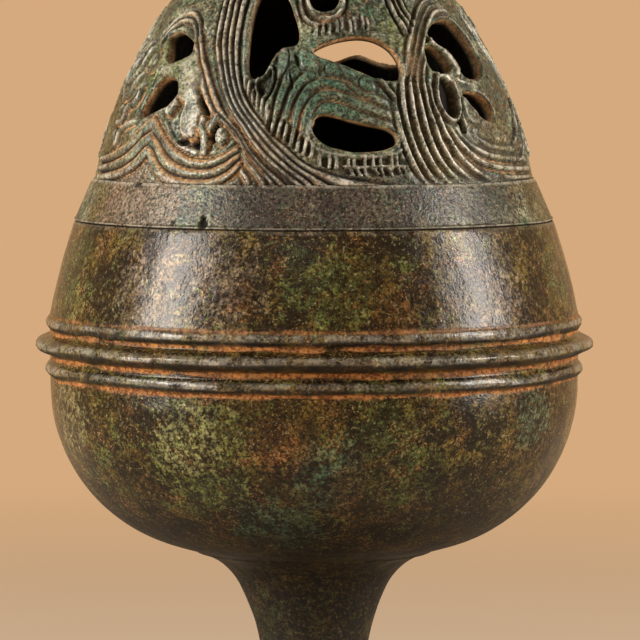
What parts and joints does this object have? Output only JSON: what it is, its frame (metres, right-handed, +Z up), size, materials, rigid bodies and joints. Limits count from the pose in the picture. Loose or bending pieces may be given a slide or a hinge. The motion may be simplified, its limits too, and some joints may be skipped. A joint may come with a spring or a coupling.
{
  "type": "bronze hill censer",
  "caption": "Footed bronze incense burner with a ribbed round bowl, a waisted stem and a lift-off openwork lid cast as misty hills.",
  "frame": {"origin": "centre of the foot's underside, on the surface that the censer stands on", "axes": "+Z up along the axis of the bowl, stem and lid; -Y is the front that faces the viewer"},
  "size_m": [0.11, 0.11, 0.2],
  "materials": {
    "bronze_body": "dark patinated bronze, mottled green and brown",
    "bronze_lid": "patinated bronze with worn grey crests and tan soil in the grooves",
    "iron": "rusted wrought iron"
  },
  "bodies": {
    "vessel": {"foot": "bronze_body", "stem": "bronze_body", "bowl": "bronze_body", "tie_rivet": "iron", "rivet_rove": "iron"},
    "lid": {"hill_lid": "bronze_lid"}
  },
  "joints": [
    {"name": "lid_lift", "type": "slide", "parent": "vessel", "child": "lid", "axis": [0, 0, 1], "range_m": [0, 0.1]}
  ]
}
